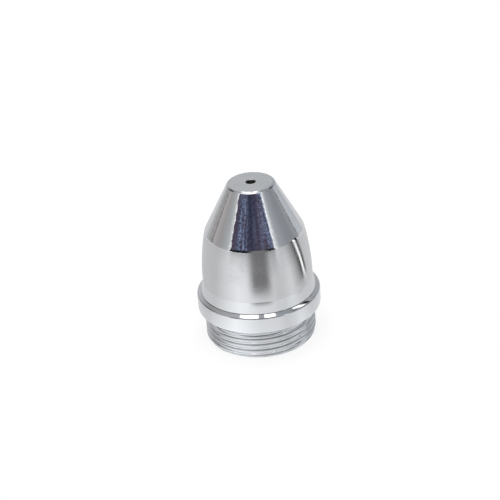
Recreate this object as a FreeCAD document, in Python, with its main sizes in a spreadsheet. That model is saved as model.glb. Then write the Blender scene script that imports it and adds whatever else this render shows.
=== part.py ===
"""Plasma torch nozzle: one piece, turned from copper bar, threaded and plated.

The axis is +Z. The origin is the middle of the open, threaded end, the face that the nozzle stands on,
and the orifice is at the top. Lengths are in millimetres.
"""

import FreeCAD, Part
import math
import os
import re
import Sketcher

SIZES = {
    # lengths along the axis, from the threaded end up
    "shank_length": 5.35,
    "flange_wall_length": 2.75,
    "flange_crown_length": 0.4,
    "neck_length": 1.95,
    "barrel_length": 8.6,
    "cone_length": 8.15,
    # radii of the outside
    "thread_radius": 9.0,
    "flange_radius": 10.0,
    "neck_foot_radius": 9.3,
    "barrel_foot_radius": 8.9,
    "shoulder_radius": 7.95,
    "face_radius": 3.7,
    "barrel_bow_radius": 38.0,
    # edges of the outside
    "face_edge_fillet": 0.65,
    "flange_top_chamfer": 0.15,
    "flange_low_chamfer": 0.4,
    "lead_in_depth": 0.5,
    "lead_in_length": 0.6,
    # the thread, the relief above it, and the recess that lets the flange seat on its outer part only
    "thread_pitch": 1.0,
    "relief_depth": 0.65,
    "relief_length": 0.3,
    "relief_flank_length": 0.8,
    "recess_clearance": 0.15,
    "recess_depth": 0.15,
    # the inside
    "bore_radius": 6.4,
    "bore_depth": 14.5,
    "bore_mouth_chamfer": 0.4,
    "orifice_radius": 0.75,
    "orifice_length": 3.2,
    "orifice_chamfer": 0.1,
}

# An ISO thread of 60 degrees. These are shares of its pitch.
GROOVE_DEPTH = 0.6134
CREST_WIDTH = 0.125
CUTTER_OVERHANG = 0.05
FLANK_SLOPE = math.tan(math.radians(30))

# heights where the outline changes
SEAT = "shank_length"
RECESS_TOP = SEAT + " + recess_depth"
RELIEF_LOW = SEAT + " - relief_length"
THREAD_TOP = RELIEF_LOW + " - relief_flank_length"
FLANGE_EDGE = SEAT + " + flange_wall_length"
NECK_FOOT = FLANGE_EDGE + " + flange_crown_length"
BARREL_FOOT = NECK_FOOT + " + neck_length"
SHOULDER = BARREL_FOOT + " + barrel_length"
FACE = SHOULDER + " + cone_length"
ORIFICE_INLET = FACE + " - orifice_length"

ON_AXIS = "0"
RELIEF_RADIUS = "thread_radius - relief_depth"
RECESS_RADIUS = "thread_radius + recess_clearance"

# The cutter starts clear of the threaded end and stops in the recess, just short of the flange.
CUTTER_START = "0 - 1.25 * thread_pitch"
CUTTER_STOP = RECESS_TOP + " - 0.5 * thread_pitch"


def make_sheet(doc):
    """The driving dimensions, each in a cell with its own alias."""
    sheet = doc.addObject("Spreadsheet::Sheet", "Sizes")
    for row, (name, size) in enumerate(SIZES.items(), start=1):
        sheet.set(f"A{row}", name)
        sheet.set(f"B{row}", str(size))
        sheet.setAlias(f"B{row}", name)
    doc.recompute()
    return sheet


def bind(feature, prop, formula):
    """Tie a property to a formula of the sheet's aliases."""
    feature.setExpression(prop, re.sub(r"[a-z]\w+", r"Sizes.\g<0>", formula))


def outward_arc(start, end, radius):
    """The short arc of that radius from start to end, bowed away from the axis."""
    chord = end - start
    outward = FreeCAD.Vector(abs(chord.y), -chord.x * math.copysign(1, chord.y), 0).normalize()
    rise = radius - math.sqrt(radius**2 - (chord.Length / 2) ** 2)
    return Part.Arc(start, (start + end) / 2 + outward * rise, end)


class TurnedBody:
    """A body whose features are outlines on its XZ plane, carried round the Z axis."""

    def __init__(self, doc, label):
        self.doc = doc
        self.body = doc.addObject("PartDesign::Body", label)
        self.body.Label = label
        self.body.Placement = FreeCAD.Placement()

    def value(self, formula):
        return float(self.doc.Sizes.evalExpression(formula))

    def outline(self, name, corners, bows=None):
        """A closed sketch through corners, each a radius and a height.

        bows names the corners that an arc leads away from, with the arc's radius.
        """
        bows = bows or {}
        sketch = self.body.newObject("Sketcher::SketchObject", name)
        plane = next(item for item in self.body.Origin.OriginFeatures if item.Role == "XZ_Plane")
        sketch.AttachmentSupport = [(plane, "")]
        sketch.MapMode = "FlatFace"

        places = [FreeCAD.Vector(self.value(radius), self.value(height), 0) for radius, height in corners]
        pieces = []
        for number, start in enumerate(places):
            end = places[(number + 1) % len(places)]
            if number in bows:
                piece = outward_arc(start, end, self.value(bows[number]))
            else:
                piece = Part.LineSegment(start, end)
            index = sketch.addGeometry(piece, False)
            starts_at_one = sketch.getPoint(index, 1).isEqual(start, 1e-6)
            pieces.append((index, 1, 2) if starts_at_one else (index, 2, 1))

        for number, (index, _, last) in enumerate(pieces):
            next_index, next_first, _ = pieces[(number + 1) % len(pieces)]
            sketch.addConstraint(Sketcher.Constraint("Coincident", index, last, next_index, next_first))
            if number in bows:
                self.dimension(sketch, f"bow_{number}", bows[number], "Radius", index)

        for number, (radius, height) in enumerate(corners):
            index, first, _ = pieces[number]
            line_before = pieces[number - 1][0] if number > 0 and number - 1 not in bows else None
            if radius == ON_AXIS:
                sketch.addConstraint(Sketcher.Constraint("PointOnObject", index, first, -2))
            elif line_before is not None and radius == corners[number - 1][0]:
                sketch.addConstraint(Sketcher.Constraint("Vertical", line_before))
            else:
                self.dimension(sketch, f"radius_{number}", radius, "DistanceX", -1, 1, index, first)
            if line_before is not None and height == corners[number - 1][1]:
                sketch.addConstraint(Sketcher.Constraint("Horizontal", line_before))
            elif height == "0":
                sketch.addConstraint(Sketcher.Constraint("PointOnObject", index, first, -1))
            else:
                self.dimension(sketch, f"height_{number}", height, "DistanceY", -1, 1, index, first)
        return sketch

    def dimension(self, sketch, name, formula, kind, *ends):
        """A named dimension of a sketch, bound to the sheet."""
        constraint = Sketcher.Constraint(kind, *ends, self.value(formula))
        sketch.renameConstraint(sketch.addConstraint(constraint), name)
        bind(sketch, f"Constraints.{name}", formula)

    def feature(self, kind, name, sketch):
        """A Revolution, Groove or SubtractiveHelix of the sketch about its own vertical axis."""
        feature = self.body.newObject(f"PartDesign::{kind}", name)
        feature.Profile = sketch
        feature.ReferenceAxis = (sketch, ["V_Axis"])
        return feature

    def dress(self, kind, name, size, radius, height):
        """A Fillet or Chamfer of that size on the round edge at that radius and height."""
        base = self.body.Tip
        feature = self.body.newObject(f"PartDesign::{kind}", name)
        feature.Base = (base, [self.round_edge(base.Shape, self.value(radius), self.value(height))])
        bind(feature, "Radius" if kind == "Fillet" else "Size", size)
        self.doc.recompute()

    def round_edge(self, shape, radius, height):
        for number, edge in enumerate(shape.Edges, start=1):
            if not isinstance(edge.Curve, Part.Circle):
                continue
            right_radius = math.isclose(edge.Curve.Radius, radius, abs_tol=1e-5)
            right_height = math.isclose(edge.Curve.Center.z, height, abs_tol=1e-5)
            if right_radius and right_height:
                return f"Edge{number}"
        raise RuntimeError(f"no round edge of radius {radius} at height {height}")


def turn_blank(nozzle):
    """Outside of the shank, flange, neck, bowed barrel and cone, before threading and boring."""
    outline = nozzle.outline(
        "blank_outline",
        [
            (ON_AXIS, "0"),
            ("thread_radius - lead_in_depth", "0"),
            ("thread_radius", "lead_in_length"),
            ("thread_radius", THREAD_TOP),
            (RELIEF_RADIUS, RELIEF_LOW),
            (RELIEF_RADIUS, RECESS_TOP),
            (RECESS_RADIUS, RECESS_TOP),
            (RECESS_RADIUS, SEAT),
            ("flange_radius", SEAT),
            ("flange_radius", FLANGE_EDGE),
            ("neck_foot_radius", NECK_FOOT),
            ("barrel_foot_radius", BARREL_FOOT),
            ("shoulder_radius", SHOULDER),
            ("face_radius", FACE),
            (ON_AXIS, FACE),
        ],
        bows={11: "barrel_bow_radius"},
    )
    nozzle.feature("Revolution", "blank", outline).Angle = 360
    nozzle.doc.recompute()
    nozzle.dress("Fillet", "face_edge", "face_edge_fillet", "face_radius", FACE)
    nozzle.dress("Chamfer", "flange_top_edge", "flange_top_chamfer", "flange_radius", FLANGE_EDGE)
    nozzle.dress("Chamfer", "flange_low_edge", "flange_low_chamfer", "flange_radius", SEAT)


def bore_inside(nozzle):
    """Electrode bore from the threaded end, the cone that closes it, and the orifice."""
    outline = nozzle.outline(
        "inside_outline",
        [
            (ON_AXIS, "0"),
            ("bore_radius + bore_mouth_chamfer", "0"),
            ("bore_radius", "bore_mouth_chamfer"),
            ("bore_radius", "bore_depth"),
            ("orifice_radius", ORIFICE_INLET),
            ("orifice_radius", FACE + " - orifice_chamfer"),
            ("orifice_radius + orifice_chamfer", FACE),
            (ON_AXIS, FACE),
        ],
    )
    nozzle.feature("Groove", "inside", outline).Angle = 360
    nozzle.doc.recompute()


def cut_thread(nozzle):
    """A right-hand thread: a helical groove from below the threaded end up into the relief."""
    crest_half = (1 - CREST_WIDTH) / 2
    outer_half = crest_half + CUTTER_OVERHANG * FLANK_SLOPE
    root_half = crest_half - GROOVE_DEPTH * FLANK_SLOPE
    root = f"thread_radius - {GROOVE_DEPTH} * thread_pitch"
    outside = f"thread_radius + {CUTTER_OVERHANG} * thread_pitch"
    section = nozzle.outline(
        "groove_section",
        [
            (root, f"{CUTTER_START} - {root_half:.4f} * thread_pitch"),
            (outside, f"{CUTTER_START} - {outer_half:.4f} * thread_pitch"),
            (outside, f"{CUTTER_START} + {outer_half:.4f} * thread_pitch"),
            (root, f"{CUTTER_START} + {root_half:.4f} * thread_pitch"),
        ],
    )
    thread = nozzle.feature("SubtractiveHelix", "thread", section)
    thread.Mode = "pitch-height-angle"
    bind(thread, "Pitch", "thread_pitch")
    bind(thread, "Height", f"{CUTTER_STOP} - ({CUTTER_START})")
    thread.LeftHanded = False
    nozzle.doc.recompute()


def check(doc, shape):
    """Stop before anything is written if an object failed or the solid isn't sound."""
    for item in doc.Objects:
        if "Invalid" in item.State or "Error" in item.State:
            raise RuntimeError(f"{item.Label} failed to build")
    if shape.isNull() or not shape.isValid() or len(shape.Solids) != 1:
        raise RuntimeError("the nozzle isn't one valid solid")


doc = FreeCAD.newDocument("plasma_torch_nozzle")
make_sheet(doc)
nozzle = TurnedBody(doc, "nozzle")
turn_blank(nozzle)
bore_inside(nozzle)
cut_thread(nozzle)
doc.recompute()
check(doc, nozzle.body.Shape)

os.makedirs("parts", exist_ok=True)
nozzle.body.Shape.exportStep("parts/nozzle.step")
print("nozzle:", round(nozzle.body.Shape.Volume, 1), "mm3")
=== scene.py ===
"""The looks of the plasma torch nozzle: one turned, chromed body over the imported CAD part."""

import math

import bmesh
import bpy
from mathutils import Matrix, Vector


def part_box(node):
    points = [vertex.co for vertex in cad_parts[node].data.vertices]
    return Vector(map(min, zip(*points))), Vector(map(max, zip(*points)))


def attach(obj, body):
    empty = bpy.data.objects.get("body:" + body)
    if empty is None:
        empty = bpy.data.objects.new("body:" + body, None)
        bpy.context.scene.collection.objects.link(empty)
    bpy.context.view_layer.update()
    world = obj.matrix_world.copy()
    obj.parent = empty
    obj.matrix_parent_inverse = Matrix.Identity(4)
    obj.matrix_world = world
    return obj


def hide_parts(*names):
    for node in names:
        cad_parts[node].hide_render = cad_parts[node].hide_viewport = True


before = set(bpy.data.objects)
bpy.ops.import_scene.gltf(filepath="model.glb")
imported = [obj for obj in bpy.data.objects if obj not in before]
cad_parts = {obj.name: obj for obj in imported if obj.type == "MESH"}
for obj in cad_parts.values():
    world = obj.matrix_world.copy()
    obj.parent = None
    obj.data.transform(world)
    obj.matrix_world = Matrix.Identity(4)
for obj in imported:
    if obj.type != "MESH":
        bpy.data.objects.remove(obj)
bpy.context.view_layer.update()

MM = 0.001
DEG = math.pi / 180
NODE = "nozzle"

# ---------------------------------------------------------------- sizes, in millimetres
low_corner, high_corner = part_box(NODE)
FLANGE_R = high_corner.x / MM
HEIGHT = high_corner.z / MM

THREAD_R = 9.0
PITCH = 1.0
THREAD_DEPTH = 0.6134 * PITCH
ROOT_NARROWING = 0.04
ROOT_HALF_FLAT = PITCH / 8 - ROOT_NARROWING
CREST_BLEND = 0.05
FLANK_SLOPE = math.tan(60 * DEG)

SEAT_Z = 5.35
LEAD_IN_DEPTH, LEAD_IN_Z = 0.5, 0.6
RUN_OUT_Z = 4.0
RELIEF_R, RELIEF_Z = 8.45, 5.3
RECESS_R, RECESS_Z = THREAD_R + 0.15, SEAT_Z + 0.15
CROWN_Z = SEAT_Z + 2.75
NECK_FOOT = (9.3, CROWN_Z + 0.4)
BARREL_FOOT = (8.9, NECK_FOOT[1] + 1.95)
SHOULDER = (7.95, BARREL_FOOT[1] + 8.6)
FACE_R = 3.7
BARREL_BOW = 38.0

BORE_R, BORE_Z, BORE_MOUTH = 6.4, 14.5, 0.4
ORIFICE_R, ORIFICE_Z, ORIFICE_CHAMFER = 0.75, HEIGHT - 3.2, 0.1

# how finely the mesh follows the shape
SEGMENTS = 256
THREAD_ROW = 0.03
OUTLINE_SLOPE_REACH = 0.02
THREAD_SLOPE_REACH = 0.008
BARREL_ROWS = 22
ARC_STEP = 9 * DEG

ZONES = ["thread", "wall", "crown", "neck", "barrel", "cone", "face", "bore"]


# ---------------------------------------------------------------- the turned section
def bowed_barrel():
    """Points up the barrel between its foot and its shoulder, on an arc that bows outward."""
    foot, top = Vector(BARREL_FOOT), Vector(SHOULDER)
    chord = top - foot
    outward = Vector((chord.y, -chord.x)).normalized()
    half = chord.length / 2
    centre = (foot + top) / 2 - outward * math.sqrt(BARREL_BOW ** 2 - half ** 2)
    spread = math.asin(half / BARREL_BOW)
    points = []
    for i in range(BARREL_ROWS + 1):
        angle = spread * (2 * i / BARREL_ROWS - 1)
        along = chord.normalized() * math.sin(angle) + outward * math.cos(angle)
        points.append(tuple(centre + along * BARREL_BOW))
    return points


def section():
    """Corners of the closed section, outside upward and inside downward.

    Each is (r, z, rounding, finish of the rounding, finish after it).
    """
    corners = [
        (THREAD_R - LEAD_IN_DEPTH, 0.0, 0.04, "thread", "thread"),
        (THREAD_R, LEAD_IN_Z, 0.06, "thread", "thread"),
        (THREAD_R, RUN_OUT_Z, 0.25, "thread", "thread"),
        (RELIEF_R, RELIEF_Z, 0.08, "thread", "thread"),
        (RELIEF_R, RECESS_Z, 0.08, "thread", "wall"),
        (RECESS_R, RECESS_Z, 0.05, "wall", "wall"),
        (RECESS_R, SEAT_Z, 0.05, "wall", "wall"),
        (FLANGE_R, SEAT_Z, 0.42, "wall", "wall"),
        (FLANGE_R, CROWN_Z, 0.32, "crown", "crown"),
        (*NECK_FOOT, 0.22, "crown", "neck"),
    ]
    barrel = bowed_barrel()
    corners.append((*barrel[0], 0.5, "barrel", "barrel"))
    corners += [(*point, 0.0, "barrel", "barrel") for point in barrel[1:-1]]
    corners.append((*barrel[-1], 1.6, "cone", "cone"))
    corners += [
        (FACE_R, HEIGHT, 0.65, "cone", "face"),
        (ORIFICE_R + ORIFICE_CHAMFER, HEIGHT, 0.03, "face", "bore"),
        (ORIFICE_R, HEIGHT - ORIFICE_CHAMFER, 0.04, "bore", "bore"),
        (ORIFICE_R, ORIFICE_Z, 0.1, "bore", "bore"),
        (BORE_R, BORE_Z, 0.3, "bore", "bore"),
        (BORE_R, BORE_MOUTH, 0.05, "bore", "bore"),
        (BORE_R + BORE_MOUTH, 0.0, 0.05, "bore", "thread"),
    ]
    return corners


def turn(direction, angle):
    """A direction in the section's plane, turned anticlockwise."""
    c, s = math.cos(angle), math.sin(angle)
    return Vector((direction.x * c - direction.y * s, direction.x * s + direction.y * c))


def corner_rows(before, here, after, rounding, corner_zone, zone):
    """A corner's rows of (point, normal, zone after it, edge): one if it is sharp, several if it is round."""
    came, goes = (here - before).normalized(), (after - here).normalized()
    bend = math.atan2(came.x * goes.y - came.y * goes.x, came.dot(goes))
    normal = Vector((came.y, -came.x))
    if rounding == 0.0:
        return [(here, turn(normal, bend / 2), zone, 0.0)]
    side = 1 if bend > 0 else -1
    reach = rounding * math.tan(abs(bend) / 2)
    centre = here - came * reach - normal * side * rounding
    steps = max(3, round(abs(bend) / ARC_STEP))
    rows = []
    for k in range(steps + 1):
        facing = turn(normal, bend * k / steps)
        middle = math.sin(math.pi * k / steps)
        row_zone = zone if k == steps else corner_zone
        rows.append((centre + facing * side * rounding, facing, row_zone, middle * side))
    return rows


def dressed_section():
    """The section's rows, with its corners rounded.

    A row's edge value is up to 1 in the middle of an outer rounding and down to -1 in an inner one.
    """
    corners = section()
    points = [Vector(corner[:2]) for corner in corners]
    rows = []
    for i, (_, _, *finish) in enumerate(corners):
        rows += corner_rows(points[i - 1], points[i], points[(i + 1) % len(points)], *finish)
    return rows


def soft_min(a, b, blend):
    """The smaller of two lengths, with a smooth change from one to the other."""
    h = max(0.0, min(1.0, 0.5 + 0.5 * (b - a) / blend))
    return b * (1 - h) + a * h - blend * h * (1 - h)


def thread_depth(turn_share, z):
    """Depth of the right-hand thread's groove at a height and a share of a turn from +X."""
    phase = (z - PITCH * turn_share + 0.25 * PITCH) / PITCH
    off_centre = abs(phase - round(phase)) * PITCH
    flank = THREAD_DEPTH - (off_centre - ROOT_HALF_FLAT) * FLANK_SLOPE
    return -soft_min(-soft_min(flank, THREAD_DEPTH, CREST_BLEND), 0.0, CREST_BLEND)


def shank_radius(outline_r, turn_share, z):
    """The shank's surface: the turned outline, or the thread's groove where that is deeper."""
    return soft_min(outline_r, THREAD_R - thread_depth(turn_share, z), CREST_BLEND)


def outline_at(rows, z):
    """The turned outline's radius at a height of the shank, from the rows of its section."""
    for (low, *_), (high, *_) in zip(rows, rows[1:]):
        if low.y <= z <= high.y and high.y > low.y:
            return low.x + (high.x - low.x) * (z - low.y) / (high.y - low.y)
    return rows[-1][0].x


def shank_rows(rows):
    """The threaded shank's rows of the section, and the closely spaced heights that stand in for them."""
    shank = [row for row in rows if row[2] == "thread" and row[0].x > BORE_R + 1.5 and row[0].y < RELIEF_Z]
    low, high = shank[0][0].y, shank[-1][0].y
    count = round((high - low) / THREAD_ROW)
    return shank, [low + (high - low) * i / count for i in range(count + 1)]


def shank_ring(shank, z):
    """A ring of the threaded shank: (point in metres, normal, wear, root) for each segment."""
    outline_r = outline_at(shank, z)
    above, below = outline_at(shank, z + OUTLINE_SLOPE_REACH), outline_at(shank, z - OUTLINE_SLOPE_REACH)
    slope = (above - below) / (2 * OUTLINE_SLOPE_REACH)
    step = THREAD_SLOPE_REACH
    ring = []
    for k in range(SEGMENTS):
        share = k / SEGMENTS
        c, s = math.cos(2 * math.pi * share), math.sin(2 * math.pi * share)
        r = shank_radius(outline_r, share, z)
        up = shank_radius(outline_r + slope * step, share, z + step)
        down = shank_radius(outline_r - slope * step, share, z - step)
        rise = (up - down) / (2 * step)
        normal = Vector((c, s, -rise))
        if abs(rise - slope) > 0.2:
            lead = PITCH / (2 * math.pi * r)
            normal += Vector((-s, c, 0)) * rise * lead
        root = max(0.0, min(1.0, (outline_r - r) / THREAD_DEPTH))
        ring.append(((r * c * MM, r * s * MM, z * MM), normal.normalized(), 0.0, root))
    return ring


def turned_ring(point, facing, edge):
    """A ring of the plain turned surface, with the same four values for each segment."""
    ring = []
    for k in range(SEGMENTS):
        angle = 2 * math.pi * k / SEGMENTS
        c, s = math.cos(angle), math.sin(angle)
        normal = Vector((facing.x * c, facing.x * s, facing.y)).normalized()
        place = (point.x * c * MM, point.x * s * MM, point.y * MM)
        ring.append((place, normal, max(0.0, edge), max(0.0, -edge)))
    return ring


def skin(bm, rings):
    """Join each ring to the next, and the last to the first, in the finish of the lower one."""
    verts = [[bm.verts.new(place) for place, *_ in ring] for _, ring in rings]
    for i, (zone, _) in enumerate(rings):
        ring, above = verts[i], verts[(i + 1) % len(verts)]
        for k in range(SEGMENTS):
            following = (k + 1) % SEGMENTS
            face = bm.faces.new((ring[k], ring[following], above[following], above[k]))
            face.smooth = True
            face.material_index = ZONES.index(zone)


def build_body():
    """The whole nozzle as one closed mesh with exact normals."""
    rows = dressed_section()
    shank, heights = shank_rows(rows)
    rings = [("thread", shank_ring(shank, z)) for z in heights]
    for row in rows:
        if row not in shank:
            point, facing, zone, edge = row
            rings.append((zone, turned_ring(point, facing, edge)))
    bm = bmesh.new()
    skin(bm, rings)
    mesh = bpy.data.meshes.new("nozzle_body")
    bm.to_mesh(mesh)
    bm.free()
    places, normals, wears, roots = zip(*(values for _, ring in rings for values in ring))
    mesh.normals_split_custom_set_from_vertices(normals)
    for name, values in (("wear", wears), ("root", roots)):
        attribute = mesh.attributes.new(name, "FLOAT", "POINT")
        attribute.data.foreach_set("value", values)
    body = bpy.data.objects.new("nozzle_body", mesh)
    bpy.context.scene.collection.objects.link(body)
    return body


# ---------------------------------------------------------------- node helpers
# the Mix node's colour sockets, whose names its number and vector sockets share
MIX_A, MIX_B, MIX_RESULT = 6, 7, 2


class Tree:
    """Short calls for building a node tree."""

    def __init__(self, tree):
        self.tree = tree
        tree.nodes.clear()

    def add(self, kind, **settings):
        node = self.tree.nodes.new(kind)
        for name, value in settings.items():
            setattr(node, name, value)
        return node

    def put(self, socket, value):
        if isinstance(value, bpy.types.NodeSocket):
            self.tree.links.new(value, socket)
        elif value is not None:
            socket.default_value = value

    def math(self, operation, a, b=None, c=None):
        node = self.add("ShaderNodeMath", operation=operation)
        for socket, value in zip(node.inputs, (a, b, c)):
            self.put(socket, value)
        return node.outputs[0]

    def remap(self, value, low, high, to_low=0.0, to_high=1.0, smooth=False):
        node = self.add("ShaderNodeMapRange", interpolation_type="SMOOTHSTEP" if smooth else "LINEAR")
        limits = {"From Min": low, "From Max": high, "To Min": to_low, "To Max": to_high}
        for name, limit in limits.items():
            node.inputs[name].default_value = limit
        self.put(node.inputs["Value"], value)
        return node.outputs[0]

    def band(self, value, low, high, soft):
        """1 between low and high, falling to 0 over the soft width at each end."""
        rises = self.remap(value, low - soft / 2, low + soft / 2, smooth=True)
        falls = self.remap(value, high - soft / 2, high + soft / 2, 1.0, 0.0, smooth=True)
        return self.math("MULTIPLY", rises, falls)

    def mix(self, share, a, b):
        node = self.add("ShaderNodeMix", data_type="RGBA")
        self.put(node.inputs["Factor"], share)
        self.put(node.inputs[MIX_A], a)
        self.put(node.inputs[MIX_B], b)
        return node.outputs[MIX_RESULT]

    def ramp(self, value, stops):
        """A colour ramp over stops of (position 0 to 1, colour)."""
        node = self.add("ShaderNodeValToRGB")
        elements = node.color_ramp.elements
        while len(elements) > 1:
            elements.remove(elements[-1])
        for i, (position, colour) in enumerate(stops):
            element = elements[0] if i == 0 else elements.new(position)
            element.position = position
            element.color = (*colour, 1)
        self.put(node.inputs["Fac"], value)
        return node.outputs["Color"]

    def noise(self, vector, scale, detail=2.0, roughness=0.5):
        node = self.add("ShaderNodeTexNoise")
        self.put(node.inputs["Vector"], vector)
        node.inputs["Scale"].default_value = scale
        node.inputs["Detail"].default_value = detail
        node.inputs["Roughness"].default_value = roughness
        return node.outputs["Fac"]

    def vector(self, x, y, z):
        node = self.add("ShaderNodeCombineXYZ")
        for socket, value in zip(node.inputs, (x, y, z)):
            self.put(socket, value)
        return node.outputs[0]

    def split(self, vector):
        node = self.add("ShaderNodeSeparateXYZ")
        self.put(node.inputs[0], vector)
        return node.outputs[0], node.outputs[1], node.outputs[2]

    def radius(self, x, y):
        """The distance from the axis."""
        return self.math("SQRT", self.math("ADD", self.math("MULTIPLY", x, x), self.math("MULTIPLY", y, y)))

    def place(self, kind="Object"):
        """The point's own coordinates, and the same split into x, y and z."""
        vector = self.add("ShaderNodeTexCoord").outputs[kind]
        return vector, *self.split(vector)

    def attribute(self, name):
        return self.add("ShaderNodeAttribute", attribute_name=name).outputs["Fac"]

    def azimuth(self, x, y):
        """The direction's azimuth as 0 to 1, with 0.5 at the front and more to the right."""
        angle = self.math("ARCTAN2", x, self.math("MULTIPLY", y, -1.0))
        return self.math("MULTIPLY_ADD", angle, 1 / (2 * math.pi), 0.5)


def grey(level, tint=(1.0, 1.0, 1.0)):
    """A tint at a level, 1 being the tint itself."""
    return tuple(level * t for t in tint)


# ---------------------------------------------------------------- the chromed surfaces
CHROME = (0.80, 0.81, 0.825)
SATIN = (0.74, 0.745, 0.755)
BORE_METAL = (0.42, 0.415, 0.42)
# the dark colour of the painted shade in the thread roots and the inner corners
ROOT_SHADE_COLOUR = (0.10, 0.095, 0.09, 1)


# how many of each detail there are to a metre
CLOUDS, RIPPLES, PITS = 260.0, 2400.0, 420.0
RING_MARK_RUN = 9.0
BUMP_HEIGHT = 0.001


def ring_marks(t, x, y, z, size):
    """Fine turning marks: their size along the profile is given, and each runs far round it."""
    along = t.math("SUBTRACT", z, t.radius(x, y))
    across = [t.math("DIVIDE", value, RING_MARK_RUN * MM) for value in (x, y)]
    return t.noise(t.vector(*across, t.math("DIVIDE", along, size * MM)), 1.0, 3.0, 0.6)


def pit_spots(t, place):
    """Scattered small round pits, one in about twelve cells."""
    cells = t.add("ShaderNodeTexVoronoi", feature="F1")
    t.put(cells.inputs["Vector"], place)
    cells.inputs["Scale"].default_value = PITS
    chosen = t.remap(t.split(cells.outputs["Color"])[0], 0.90, 0.93)
    return t.math("MULTIPLY", t.remap(cells.outputs["Distance"], 0.05, 0.13, 1.0, 0.0, smooth=True), chosen)


def stretch_gloss(t, shader, stretch):
    """Spread the gloss up and down the profile, across the turning marks."""
    shader.inputs["Anisotropic"].default_value = stretch
    shader.inputs["Anisotropic Rotation"].default_value = 0.25
    tangent = t.add("ShaderNodeTangent", direction_type="RADIAL", axis="Z")
    t.put(shader.inputs["Tangent"], tangent.outputs[0])


def chrome(name, colour=CHROME, rough=0.08, stretch=0.0, lines=0.0, line_size=0.12, ripple=0.0, pits=0.0,
           root_shade=0.0):
    """A chromed finish, rougher on worn edges, with painted shade darkening the thread roots and inner
    corners when asked. Sizes are in millimetres.
    """
    material = bpy.data.materials.new(name)
    material.use_nodes = True
    t = Tree(material.node_tree)
    shader = t.add("ShaderNodeBsdfPrincipled")
    t.put(t.add("ShaderNodeOutputMaterial").inputs["Surface"], shader.outputs[0])
    shader.inputs["Metallic"].default_value = 1.0
    place, x, y, z = t.place()
    clouds = t.noise(place, CLOUDS, 3.0)
    marks = ring_marks(t, x, y, z, line_size)

    uneven = t.math("MULTIPLY", t.remap(clouds, 0.3, 0.7, 0.7, 1.3), t.remap(marks, 0.25, 0.75, 0.85, 1.15))
    worn = t.math("MULTIPLY_ADD", t.attribute("wear"), 0.06, t.math("MULTIPLY", uneven, rough))
    t.put(shader.inputs["Roughness"], worn)

    tone = t.mix(t.remap(clouds, 0.35, 0.7), (*grey(0.97, colour), 1), (*colour, 1))
    height = t.math("MULTIPLY", marks, lines)
    if ripple:
        height = t.math("MULTIPLY_ADD", t.noise(place, RIPPLES, 1.5), ripple, height)
    if pits:
        spots = pit_spots(t, place)
        tone = t.mix(t.math("MULTIPLY", spots, pits), tone, (*grey(0.3, colour), 1))
        height = t.math("MULTIPLY_ADD", spots, -0.4 * pits, height)
    # painted shade: the base colour is darkened deep in the thread roots and in the inner corners, where
    # shade falls, more under some clouds than others
    if root_shade:
        sunk = t.remap(t.attribute("root"), 0.45, 0.95, smooth=True)
        root_shading = t.math("MULTIPLY", sunk, t.remap(clouds, 0.3, 0.65, 0.6, 1.0))
        tone = t.mix(t.math("MULTIPLY", root_shading, root_shade), tone, ROOT_SHADE_COLOUR)
    t.put(shader.inputs["Base Color"], tone)

    bump = t.add("ShaderNodeBump")
    bump.inputs["Strength"].default_value = 1.0
    bump.inputs["Distance"].default_value = BUMP_HEIGHT * MM
    t.put(bump.inputs["Height"], height)
    t.put(shader.inputs["Normal"], bump.outputs[0])
    if stretch:
        stretch_gloss(t, shader, stretch)
    return material


# the shade share, where a finish gives one, paints shade into its roots and inner corners: the thread's
# grooves, the recess corners and the neck's foot
FINISHES = {
    "thread": dict(rough=0.05, lines=0.3, line_size=0.1, ripple=0.8, root_shade=0.6),
    "wall": dict(rough=0.16, stretch=0.3, lines=0.6, line_size=0.2, ripple=0.4, root_shade=0.8),
    "crown": dict(rough=0.06, lines=0.4, line_size=0.15, ripple=1.5, root_shade=0.95),
    "neck": dict(rough=0.16, stretch=0.3, lines=0.6, line_size=0.2, ripple=0.3),
    "barrel": dict(colour=SATIN, rough=0.24, stretch=0.80, lines=1.0, line_size=0.12, pits=0.8),
    "cone": dict(rough=0.05, lines=0.6, line_size=0.25, ripple=12.0),
    "face": dict(rough=0.32, lines=1.5, line_size=0.12),
    "bore": dict(colour=BORE_METAL, rough=0.30, lines=1.5, line_size=0.15),
}


def dress(body):
    """One finish for each zone of the body, in the order of ZONES."""
    for zone in ZONES:
        body.data.materials.append(chrome("chrome_" + zone, **FINISHES[zone]))


# ---------------------------------------------------------------- the studio
COOL = (0.98, 1.0, 1.02)
WARM = (1.03, 0.985, 0.975)
BLUE = (0.95, 1.0, 1.07)

FLOOR_ROUND = [
    (-180, 0.64), (-120, 0.58), (-86, 0.57), (-61, 0.88), (-37, 1.17), (-24, 1.10), (0, 0.82), (25, 0.76),
    (37, 0.62), (50, 0.70), (61, 0.86), (86, 0.60), (120, 0.64), (180, 0.64),
]
FLOOR_NEAR, FLOOR_NEAR_GAIN = (13.0, 22.0), 1.25
FLOOR_FAR = (120.0, 260.0)
WALL_ROUND = [
    (-180, 0.52, COOL), (-150, 0.58, COOL), (-131, 0.34, COOL), (-112, 0.40, WARM), (-104, 0.46, WARM),
    (-91, 0.38, WARM), (-77, 0.42, COOL), (-66, 0.52, COOL), (-60.5, 0.75, COOL), (-58.5, 1.35, COOL),
    (43, 1.25, COOL), (48, 0.72, COOL), (56, 0.42, BLUE), (77, 0.32, BLUE), (92, 0.30, BLUE),
    (109, 0.38, COOL), (113, 0.56, BLUE), (121, 0.60, BLUE), (131, 0.40, BLUE), (180, 0.52, COOL),
]
CEILING_LEFT, CEILING_RIGHT = (0.47, 0.48, 0.51, 1), (0.33, 0.35, 0.385, 1)
CEILING_ELEVATIONS = (50, 72)
WORLD_LIGHT = (0.85, 0.85, 0.85, 1)
SIDE_GAPS = [(-127, -96), (96, 127)]
GAP_ELEVATIONS = (14, 42)
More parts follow.
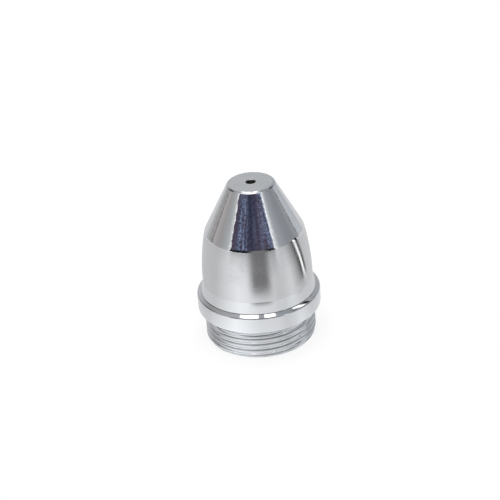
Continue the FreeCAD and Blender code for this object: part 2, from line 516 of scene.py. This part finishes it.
GAP_COLOUR = (0.09, 0.09, 0.10, 1)
SEAMS = (-110.5, 110.5)
SEAM_WIDTH = 1.6
SEAM_COLOUR = (0.08, 0.08, 0.09, 1)
FLOOR_SIZE = 4000.0
FLOOR_DROP = 0.03
FLOOR_GLOW = 0.74
PAPER, PAPER_REFLECTED = (0.30, 0.30, 0.30, 1), (0.24, 0.24, 0.24, 1)
WHITE = (1, 1, 1, 1)


def turn_share(azimuth):
    """An azimuth in degrees as Tree.azimuth gives it, with 0.5 at the front."""
    return (azimuth + 180) / 360


def round_stops(table):
    """Ramp stops from rows of (azimuth, level), or (azimuth, level, tint)."""
    return [(turn_share(azimuth), grey(level, *tint or [COOL])) for azimuth, level, *tint in table]


def lifted(elevation):
    """The height on the unit sphere at an elevation in degrees."""
    return math.sin(elevation * DEG)


def tent_walls(t, azimuth, z):
    """The tent's walls round the nozzle, with their two seams and the dark gap at each side."""
    walls = t.ramp(azimuth, round_stops(WALL_ROUND))
    seams = 0.0
    for seam in SEAMS:
        sides = turn_share(seam - SEAM_WIDTH / 2), turn_share(seam + SEAM_WIDTH / 2)
        seams = t.math("ADD", seams, t.band(azimuth, *sides, 0.002))
    walls = t.mix(seams, walls, SEAM_COLOUR)
    for gap in SIDE_GAPS:
        across = t.band(azimuth, *map(turn_share, gap), 0.012)
        tall = t.band(z, *map(lifted, GAP_ELEVATIONS), 0.05)
        walls = t.mix(t.math("MULTIPLY", across, tall), walls, GAP_COLOUR)
    return walls


def build_world():
    """White to the camera, plain light on the floor, and a studio tent in the metal's reflections."""
    world = bpy.data.worlds.new("studio")
    bpy.context.scene.world = world
    world.use_nodes = True
    t = Tree(world.node_tree)
    _, x, y, z = t.place("Generated")
    ceiling = t.mix(t.remap(x, -0.1, 0.15), CEILING_LEFT, CEILING_RIGHT)
    overhead = t.remap(z, *map(lifted, CEILING_ELEVATIONS), smooth=True)
    tent = t.mix(overhead, tent_walls(t, t.azimuth(x, y), z), ceiling)
    path = t.add("ShaderNodeLightPath")
    seen = t.mix(path.outputs["Is Glossy Ray"], WORLD_LIGHT, tent)
    seen = t.mix(path.outputs["Is Camera Ray"], seen, WHITE)
    background = t.add("ShaderNodeBackground")
    t.put(background.inputs["Color"], seen)
    t.put(t.add("ShaderNodeOutputWorld").inputs["Surface"], background.outputs[0])


def stage_mesh(name, corners, faces, material, hidden=True):
    """A floor or card of the studio. Hidden ones show only in the metal's reflections."""
    mesh = bpy.data.meshes.new(name)
    mesh.from_pydata([tuple(c * MM for c in corner) for corner in corners], [], faces)
    mesh.materials.append(material)
    obj = bpy.data.objects.new(name, mesh)
    bpy.context.scene.collection.objects.link(obj)
    if hidden:
        obj.visible_camera = False
        obj.visible_diffuse = False
        obj.visible_shadow = False
    return obj


def floor_glow(t, path):
    """The paper's own glow: white to the camera, and as the studio's floor in the metal's reflections."""
    _, x, y, z = t.place()
    azimuth, r = t.azimuth(x, y), t.radius(x, y)
    far = t.remap(r, FLOOR_FAR[0] * MM, FLOOR_FAR[1] * MM)
    near = t.remap(r, FLOOR_NEAR[0] * MM, FLOOR_NEAR[1] * MM, FLOOR_NEAR_GAIN, 1.0)
    round_near, round_far = (t.ramp(azimuth, round_stops(table)) for table in (FLOOR_ROUND, WALL_ROUND))
    reflected = t.mix(far, round_near, round_far)
    glossy = path.outputs["Is Glossy Ray"]
    lit = t.math("MAXIMUM", path.outputs["Is Camera Ray"], glossy)
    glow = t.add("ShaderNodeEmission")
    t.put(glow.inputs["Color"], t.mix(glossy, WHITE, reflected))
    t.put(glow.inputs["Strength"],
          t.math("MULTIPLY", t.math("MULTIPLY", lit, FLOOR_GLOW), t.mix(glossy, WHITE, near)))
    return glow.outputs[0]


def build_floor():
    """A white paper floor, which keeps the nozzle's soft shadow and can be seen through from below."""
    material = bpy.data.materials.new("floor_paper")
    material.use_nodes = True
    t = Tree(material.node_tree)
    path = t.add("ShaderNodeLightPath")
    paper = t.add("ShaderNodeBsdfDiffuse")
    t.put(paper.inputs["Color"], t.mix(path.outputs["Is Glossy Ray"], PAPER, PAPER_REFLECTED))
    both = t.add("ShaderNodeAddShader")
    t.put(both.inputs[0], floor_glow(t, path))
    t.put(both.inputs[1], paper.outputs[0])
    below = t.add("ShaderNodeMixShader")
    t.put(below.inputs[0], t.add("ShaderNodeNewGeometry").outputs["Backfacing"])
    t.put(below.inputs[1], both.outputs[0])
    t.put(below.inputs[2], t.add("ShaderNodeBsdfTransparent").outputs[0])
    t.put(t.add("ShaderNodeOutputMaterial").inputs["Surface"], below.outputs[0])
    h = FLOOR_SIZE / 2
    corners = [(-h, -h, -FLOOR_DROP), (h, -h, -FLOOR_DROP), (h, h, -FLOOR_DROP), (-h, h, -FLOOR_DROP)]
    stage_mesh("floor", corners, [(0, 1, 2, 3)], material, hidden=False)


def glowing(name, paint):
    """A card's material: paint(tree, x, y, z) gives its colour and how solid it is, from 0 to 1."""
    material = bpy.data.materials.new(name)
    material.use_nodes = True
    t = Tree(material.node_tree)
    _, x, y, z = t.place()
    colour, solid = paint(t, x, y, z)
    glow = t.add("ShaderNodeEmission")
    t.put(glow.inputs["Color"], colour)
    blend = t.add("ShaderNodeMixShader")
    t.put(blend.inputs[0], solid)
    t.put(blend.inputs[1], t.add("ShaderNodeBsdfTransparent").outputs[0])
    t.put(blend.inputs[2], glow.outputs[0])
    t.put(t.add("ShaderNodeOutputMaterial").inputs["Surface"], blend.outputs[0])
    return material


SOFTBOX_HEIGHT = 500.0
SOFTBOXES = {"left": (-0.31, -0.035), "right": (0.06, 0.225)}
SOFTBOX_DEPTH = (-1.0, 0.40)
SOFTBOX_COLOUR = (2.2, 2.156, 2.178, 1)


def build_softboxes():
    """Two white softboxes side by side overhead, each given by its reach in shares of its height."""
    def paint(t, x, y, z):
        return SOFTBOX_COLOUR, 1.0

    material = glowing("softbox", paint)
    y0, y1 = (share * SOFTBOX_HEIGHT for share in SOFTBOX_DEPTH)
    for side, shares in SOFTBOXES.items():
        x0, x1 = (share * SOFTBOX_HEIGHT for share in shares)
        corners = [(x, y, SOFTBOX_HEIGHT) for x, y in ((x0, y0), (x0, y1), (x1, y1), (x1, y0))]
        box = stage_mesh("softbox_" + side, corners, [(0, 1, 2, 3)], material)
        box.visible_diffuse = True


PANEL_R = 90.0
PANEL_AZIMUTHS = (-56.0, 41.0)
PANEL_HEIGHTS = (12.0, 100.0)
PANEL_BLACK_BELOW = 50.0
PANEL_BLACK, PANEL_NAVY = (0.008, 0.008, 0.010, 1), (0.028, 0.025, 0.05, 1)
PANEL_PLUM, PANEL_BLUE = (0.075, 0.055, 0.085, 1), (0.34, 0.46, 0.70, 1)
PANEL_STEPS = 40


def build_panel():
    """The dark camera side of the tent, curved round the front."""
    def paint(t, x, y, z):
        place = t.vector(x, y, z)
        blotches = t.remap(t.noise(place, 260.0, 3.0, 0.65), 0.50, 0.62, smooth=True)
        base = t.mix(t.remap(t.noise(place, 30.0, 2.0), 0.4, 0.6), PANEL_NAVY, PANEL_PLUM)
        columns = t.math("MAXIMUM", t.remap(x, 10 * MM, 50 * MM), t.band(x, -62 * MM, -30 * MM, 20 * MM))
        lit = t.math("MULTIPLY", blotches, t.math("MULTIPLY_ADD", columns, 0.8, 0.2))
        upper = t.remap(z, (PANEL_BLACK_BELOW - 6) * MM, PANEL_BLACK_BELOW * MM, smooth=True)
        return t.mix(upper, PANEL_BLACK, t.mix(lit, base, PANEL_BLUE)), 1.0

    material = glowing("dark_panel", paint)
    left, right = PANEL_AZIMUTHS
    corners, faces = [], []
    for i in range(PANEL_STEPS + 1):
        angle = (left + (right - left) * i / PANEL_STEPS) * DEG
        for height in PANEL_HEIGHTS:
            corners.append((PANEL_R * math.sin(angle), -PANEL_R * math.cos(angle), height))
        if i:
            faces.append((2 * i - 2, 2 * i, 2 * i + 1, 2 * i - 1))
    stage_mesh("dark_panel", corners, faces, material)


def build_strip(name, foot, top, width, paint):
    """A narrow upright card facing the nozzle. Its paint gets x across it and z up it from its foot."""
    foot, top = Vector(foot), Vector(top)
    up = (top - foot).normalized()
    across = up.cross(Vector((foot.x, foot.y, 0))).normalized()
    facing = across.cross(up)
    half, tall = width / 2, (top - foot).length
    corners = [(-half, 0, 0), (half, 0, 0), (half, 0, tall), (-half, 0, tall)]
    strip = stage_mesh(name, corners, [(0, 1, 2, 3)], glowing(name, paint))
    strip.matrix_world = Matrix.Translation(foot * MM) @ Matrix((across, facing, up)).transposed().to_4x4()


FLAG_FOOT, FLAG_TOP = (0.85, -14.0, 9.0), (0.85, -14.0, 21.0)
FLAG_WIDTH, FLAG_SOFT = 10.4, 3.6
FLAG_COLOUR = (0.20, 0.195, 0.205, 1)


def build_flag():
    """A grey flag in front of the barrel, soft at its edges."""
    def paint(t, x, y, z):
        reach = (FLAG_WIDTH - FLAG_SOFT) / 2
        across = t.band(x, -reach * MM, reach * MM, FLAG_SOFT * MM)
        up = t.remap(z, 0.0, 0.9 * MM, smooth=True)
        return FLAG_COLOUR, t.math("MULTIPLY", across, up)

    build_strip("front_flag", FLAG_FOOT, FLAG_TOP, FLAG_WIDTH, paint)


ROD_TOP, ROD_FOOT = (10.3, -7.0, 19.2), (11.5, -4.5, 9.7)
ROD_WIDTH = 7.0
ROD_STOPS = [(0.0, 0.45), (0.50, 0.16), (0.58, 0.02), (0.68, 0.02), (0.71, 1.5), (0.81, 1.5), (0.84, 0.01),
             (1.0, 0.01)]


def build_rod():
    """A bright rod between dark edges on the right of the barrel, with a soft shade on its left."""
    def paint(t, x, y, z):
        share = t.math("MULTIPLY_ADD", x, 1 / (ROD_WIDTH * MM), 0.5)
        colour = t.ramp(share, [(position, grey(level)) for position, level in ROD_STOPS])
        return colour, t.remap(share, 0.0, 0.66)

    build_strip("side_rod", ROD_FOOT, ROD_TOP, ROD_WIDTH, paint)


# ---------------------------------------------------------------- the camera
# fitted to the photo's outline; it stands in front and above, and its aim is nearly the nozzle's middle
CAMERA_DISTANCE = 236.36
CAMERA_ELEVATION = 29.375
CAMERA_AIM_Z = 10.909
CAMERA_PITCH, CAMERA_YAW, CAMERA_ROLL = 28.486, -0.254, -4.405
LENS, SENSOR = 105.354, 36.0


def build_camera():
    """The camera at the photo's viewing angle, rolled as the photo leans."""
    data = bpy.data.cameras.new("camera")
    data.lens, data.sensor_width = LENS, SENSOR
    data.clip_start, data.clip_end = 0.01, 20.0
    camera = bpy.data.objects.new("camera", data)
    bpy.context.scene.collection.objects.link(camera)
    elevation, pitch, yaw, roll = (
        angle * DEG for angle in (CAMERA_ELEVATION, CAMERA_PITCH, CAMERA_YAW, CAMERA_ROLL))
    place = Vector((0, -math.cos(elevation), math.sin(elevation))) * CAMERA_DISTANCE
    place.z += CAMERA_AIM_Z
    ahead = Vector((math.sin(yaw) * math.cos(pitch), math.cos(yaw) * math.cos(pitch), -math.sin(pitch)))
    right = ahead.cross(Vector((0, 0, 1))).normalized()
    up = right.cross(ahead)
    right, up = (right * math.cos(roll) + up * math.sin(roll), up * math.cos(roll) - right * math.sin(roll))
    turned = Matrix((right, up, -ahead)).transposed().to_4x4()
    camera.matrix_world = Matrix.Translation(place * MM) @ turned
    bpy.context.scene.camera = camera


# ---------------------------------------------------------------- the scene
body = build_body()
dress(body)
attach(body, "root")
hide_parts(NODE)

build_world()
build_floor()
build_softboxes()
build_panel()
build_flag()
build_rod()
build_camera()
bpy.context.scene.view_settings.view_transform = "Standard"
